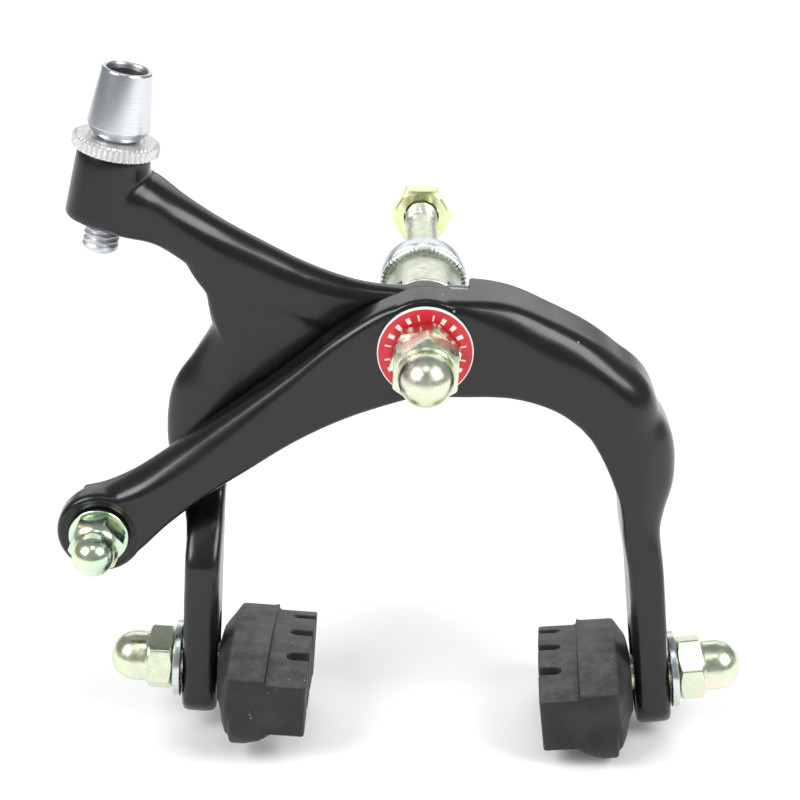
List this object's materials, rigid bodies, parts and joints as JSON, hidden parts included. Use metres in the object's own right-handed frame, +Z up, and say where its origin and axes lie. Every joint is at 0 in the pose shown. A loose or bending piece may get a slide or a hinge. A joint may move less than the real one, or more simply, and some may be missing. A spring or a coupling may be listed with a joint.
{
  "type": "rim brake caliper",
  "caption": "Side-pull rim brake caliper: two black arms on one pivot bolt, a cable anchor, a barrel adjuster and a sliding grooved rubber shoe on each slotted leg.",
  "frame": {"origin": "on the pivot bolt's axis, in the rear face of the seat washer, where the caliper meets the fork crown", "axes": "+Y along the pivot bolt into the fork, +Z up, away from the wheel's axle, +X to the right seen from the caliper's front"},
  "size_m": [0.1153, 0.0875, 0.1139],
  "materials": {
    "black_alloy": "gloss",
    "yellow_zinc": "bright zinc",
    "clear_zinc": "satin zinc",
    "spring_wire": "satin",
    "turned_alloy": "turned",
    "red_print": "gloss",
    "nylon": "matte",
    "pad_rubber": "matte"
  },
  "bodies": {
    "base": {"pivot_bolt": "yellow_zinc", "spring_block": "yellow_zinc", "serrated_washer": "clear_zinc", "seat_washer": "clear_zinc", "mounting_nut": "yellow_zinc", "nut_insert": "nylon", "rear_washer": "clear_zinc", "middle_washer": "clear_zinc", "face_washer": "red_print", "jam_nut": "yellow_zinc", "front_dome_nut": "yellow_zinc", "return_spring": "spring_wire"},
    "front_lever": {"front_arm": "black_alloy", "anchor_bolt": "yellow_zinc", "anchor_washer": "yellow_zinc", "anchor_dome_nut": "yellow_zinc"},
    "rear_lever": {"rear_arm": "black_alloy"},
    "lock_ring": {"adjuster_lock_ring": "turned_alloy"},
    "barrel": {"barrel_adjuster": "turned_alloy"},
    "left_clamp": {"left_side_washer": "clear_zinc", "left_dome_nut": "yellow_zinc"},
    "left_shoe": {"left_pad": "pad_rubber", "left_pad_stud": "yellow_zinc"},
    "right_clamp": {"right_side_washer": "clear_zinc", "right_dome_nut": "yellow_zinc"},
    "right_shoe": {"right_pad": "pad_rubber", "right_pad_stud": "yellow_zinc"}
  },
  "joints": [
    {"name": "front_arm_pivot", "type": "hinge", "parent": "base", "child": "front_lever", "pos_m": [0, -0.0287, 0], "axis": [0, 1, 0], "range_deg": [0, 8], "stiffness_Nm_per_rad": 1.2, "springref_deg": -11.46, "deforming": ["return_spring"]},
    {"name": "rear_arm_pivot", "type": "hinge", "parent": "base", "child": "rear_lever", "pos_m": [0, -0.0218, 0], "axis": [0, 1, 0], "range_deg": [-8, 0], "stiffness_Nm_per_rad": 1.2, "springref_deg": 11.46},
    {"name": "lock_ring_turn", "type": "hinge", "parent": "rear_lever", "child": "lock_ring", "pos_m": [-0.04895, -0.0213, 0.0286], "axis": [0.1908, 0, 0.9816], "range_deg": [0, 1764]},
    {"name": "barrel_lift", "type": "slide", "parent": "rear_lever", "child": "barrel", "axis": [0.1908, 0, 0.9816], "range_m": [0, 0.0049]},
    {"name": "left_shoe_slide", "type": "slide", "parent": "rear_lever", "child": "left_clamp", "axis": [0.0489, 0, 0.9988], "range_m": [-0.0038, 0.0055]},
    {"name": "left_pad_tilt", "type": "hinge", "parent": "left_clamp", "child": "left_shoe", "pos_m": [-0.03705, -0.0285, -0.0597], "axis": [-0.9988, 0, 0.0489], "range_deg": [-15, 15]},
    {"name": "right_shoe_slide", "type": "slide", "parent": "front_lever", "child": "right_clamp", "axis": [-0.1184, 0, 0.993], "range_m": [-0.0038, 0.0055]},
    {"name": "right_pad_tilt", "type": "hinge", "parent": "right_clamp", "child": "right_shoe", "pos_m": [0.04, -0.0285, -0.0608], "axis": [0.993, 0, 0.1184], "range_deg": [-15, 15]}
  ],
  "couplings": [
    {"joint": "rear_arm_pivot", "follows": "front_arm_pivot", "ratio": -1},
    {"joint": "lock_ring_turn", "follows": "barrel_lift", "rad_per_m": 6283.2}
  ]
}
